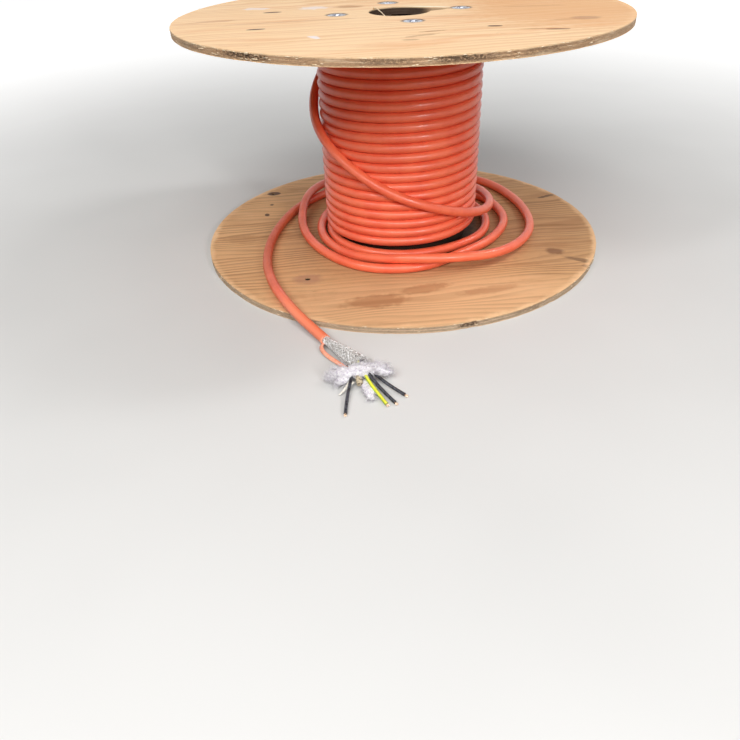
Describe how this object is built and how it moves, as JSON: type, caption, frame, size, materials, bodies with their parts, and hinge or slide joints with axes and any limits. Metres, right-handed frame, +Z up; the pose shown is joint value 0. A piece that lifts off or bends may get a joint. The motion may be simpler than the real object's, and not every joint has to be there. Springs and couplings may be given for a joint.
{
  "type": "wooden cable drum",
  "caption": "Plywood cable drum on its end: two round flanges tied by rods round a fibre barrel, wound with orange cable whose stripped end lies loose.",
  "frame": {"origin": "centre of the underside of the bottom flange, on the floor", "axes": "+Z up the drum's axis, -Y towards the side where the cable's stripped end lies, +X to the right seen from that side"},
  "size_m": [0.6099, 0.7731, 0.324],
  "materials": {
    "top_plywood": "raw",
    "bottom_plywood": "raw",
    "barrel_fibre": "raw",
    "zinc_steel": "zinc plated",
    "orange_jacket": "satin",
    "tinned_braid": "woven",
    "white_fleece": "fluffy",
    "black_insulation": "satin",
    "earth_insulation": "satin",
    "copper": "bare"
  },
  "bodies": {
    "root": {"bottom_flange": "bottom_plywood", "top_flange": "top_plywood", "barrel": "barrel_fibre", "tie_rod_1": "zinc_steel", "tie_rod_2": "zinc_steel", "tie_rod_3": "zinc_steel", "tie_rod_4": "zinc_steel", "tee_nuts_top": "zinc_steel", "tee_nuts_bottom": "zinc_steel", "cable_winding": "orange_jacket", "cable_tail": "orange_jacket", "shield_braid": "tinned_braid", "filler_fleece": "white_fleece", "core_black_1": "black_insulation", "core_earth": "earth_insulation", "core_black_2": "black_insulation", "core_black_3": "black_insulation"}
  },
  "joints": []
}
